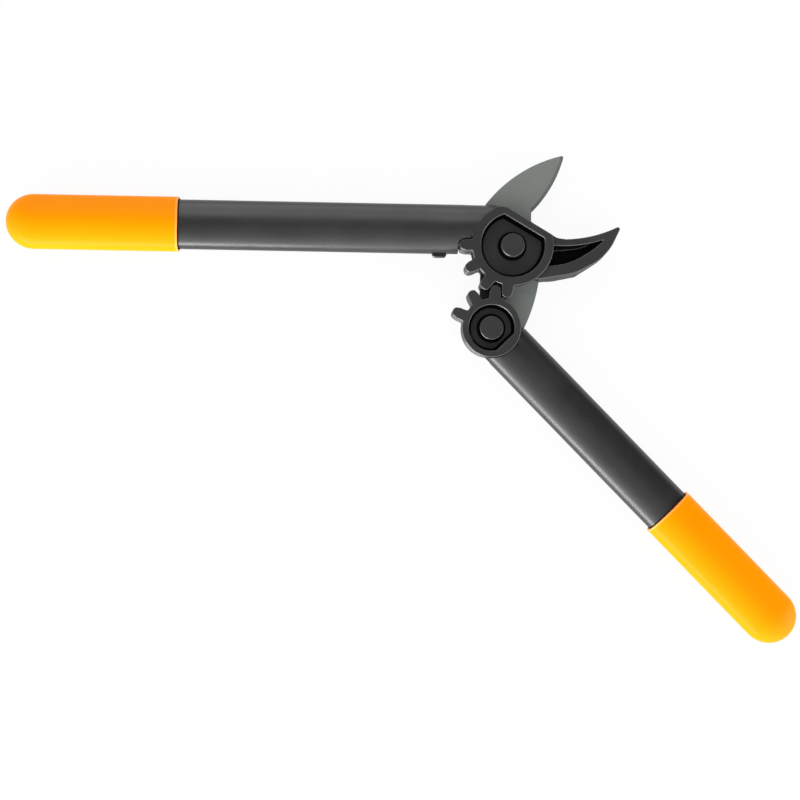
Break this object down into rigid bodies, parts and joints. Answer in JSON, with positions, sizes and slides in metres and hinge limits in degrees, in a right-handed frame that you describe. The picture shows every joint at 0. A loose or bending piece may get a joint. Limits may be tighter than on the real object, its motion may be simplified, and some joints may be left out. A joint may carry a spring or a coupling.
{
  "type": "anvil lopper",
  "caption": "Open geared lopper: the blade swings onto a curved anvil jaw while toothed cheeks on the lower handle roll round the jaw's teeth. Oval tubes with domed grips.",
  "frame": {"origin": "on the main pivot's axis, in the plane of the rear faces that the tool lies on", "axes": "+X from the fixed handle towards the jaw's tip, +Y towards the open blade, +Z out of the front cheeks"},
  "size_m": [0.5975, 0.3617, 0.028],
  "materials": {
    "handle_plastic": "satin",
    "grip_plastic": "satin",
    "blade_coating": "satin",
    "washer_steel": "ground",
    "bush_bronze": "sintered",
    "bumper_rubber": "matte"
  },
  "bodies": {
    "fixed_handle": {"upper_handle_tube": "handle_plastic", "upper_grip": "grip_plastic", "front_anvil_cheek": "handle_plastic", "rear_anvil_cheek": "handle_plastic", "anvil_bar": "handle_plastic", "anvil_dowels": "washer_steel", "main_pivot_pin": "handle_plastic", "main_pivot_cap": "handle_plastic", "closing_bumper": "bumper_rubber"},
    "blade": {"blade": "blade_coating", "main_pivot_bush": "bush_bronze", "drive_pivot_bush": "bush_bronze", "main_front_washer": "washer_steel", "main_rear_washer": "washer_steel", "drive_front_washer": "washer_steel", "drive_rear_washer": "washer_steel"},
    "moving_handle": {"lower_handle_tube": "handle_plastic", "lower_grip": "grip_plastic", "front_drive_cheek": "handle_plastic", "rear_drive_cheek": "handle_plastic", "drive_pivot_pin": "handle_plastic", "drive_pivot_cap": "handle_plastic"}
  },
  "joints": [
    {"name": "blade_pivot", "type": "hinge", "parent": "fixed_handle", "child": "blade", "pos_m": [0, 0, 0.014], "axis": [0, 0, -1], "range_deg": [0, 50]},
    {"name": "handle_pivot", "type": "hinge", "parent": "blade", "child": "moving_handle", "pos_m": [-0.01466, -0.06153, 0.014], "axis": [0, 0, -1], "range_deg": [0, 65]}
  ],
  "couplings": [
    {"joint": "handle_pivot", "follows": "blade_pivot", "ratio": 1.3}
  ]
}
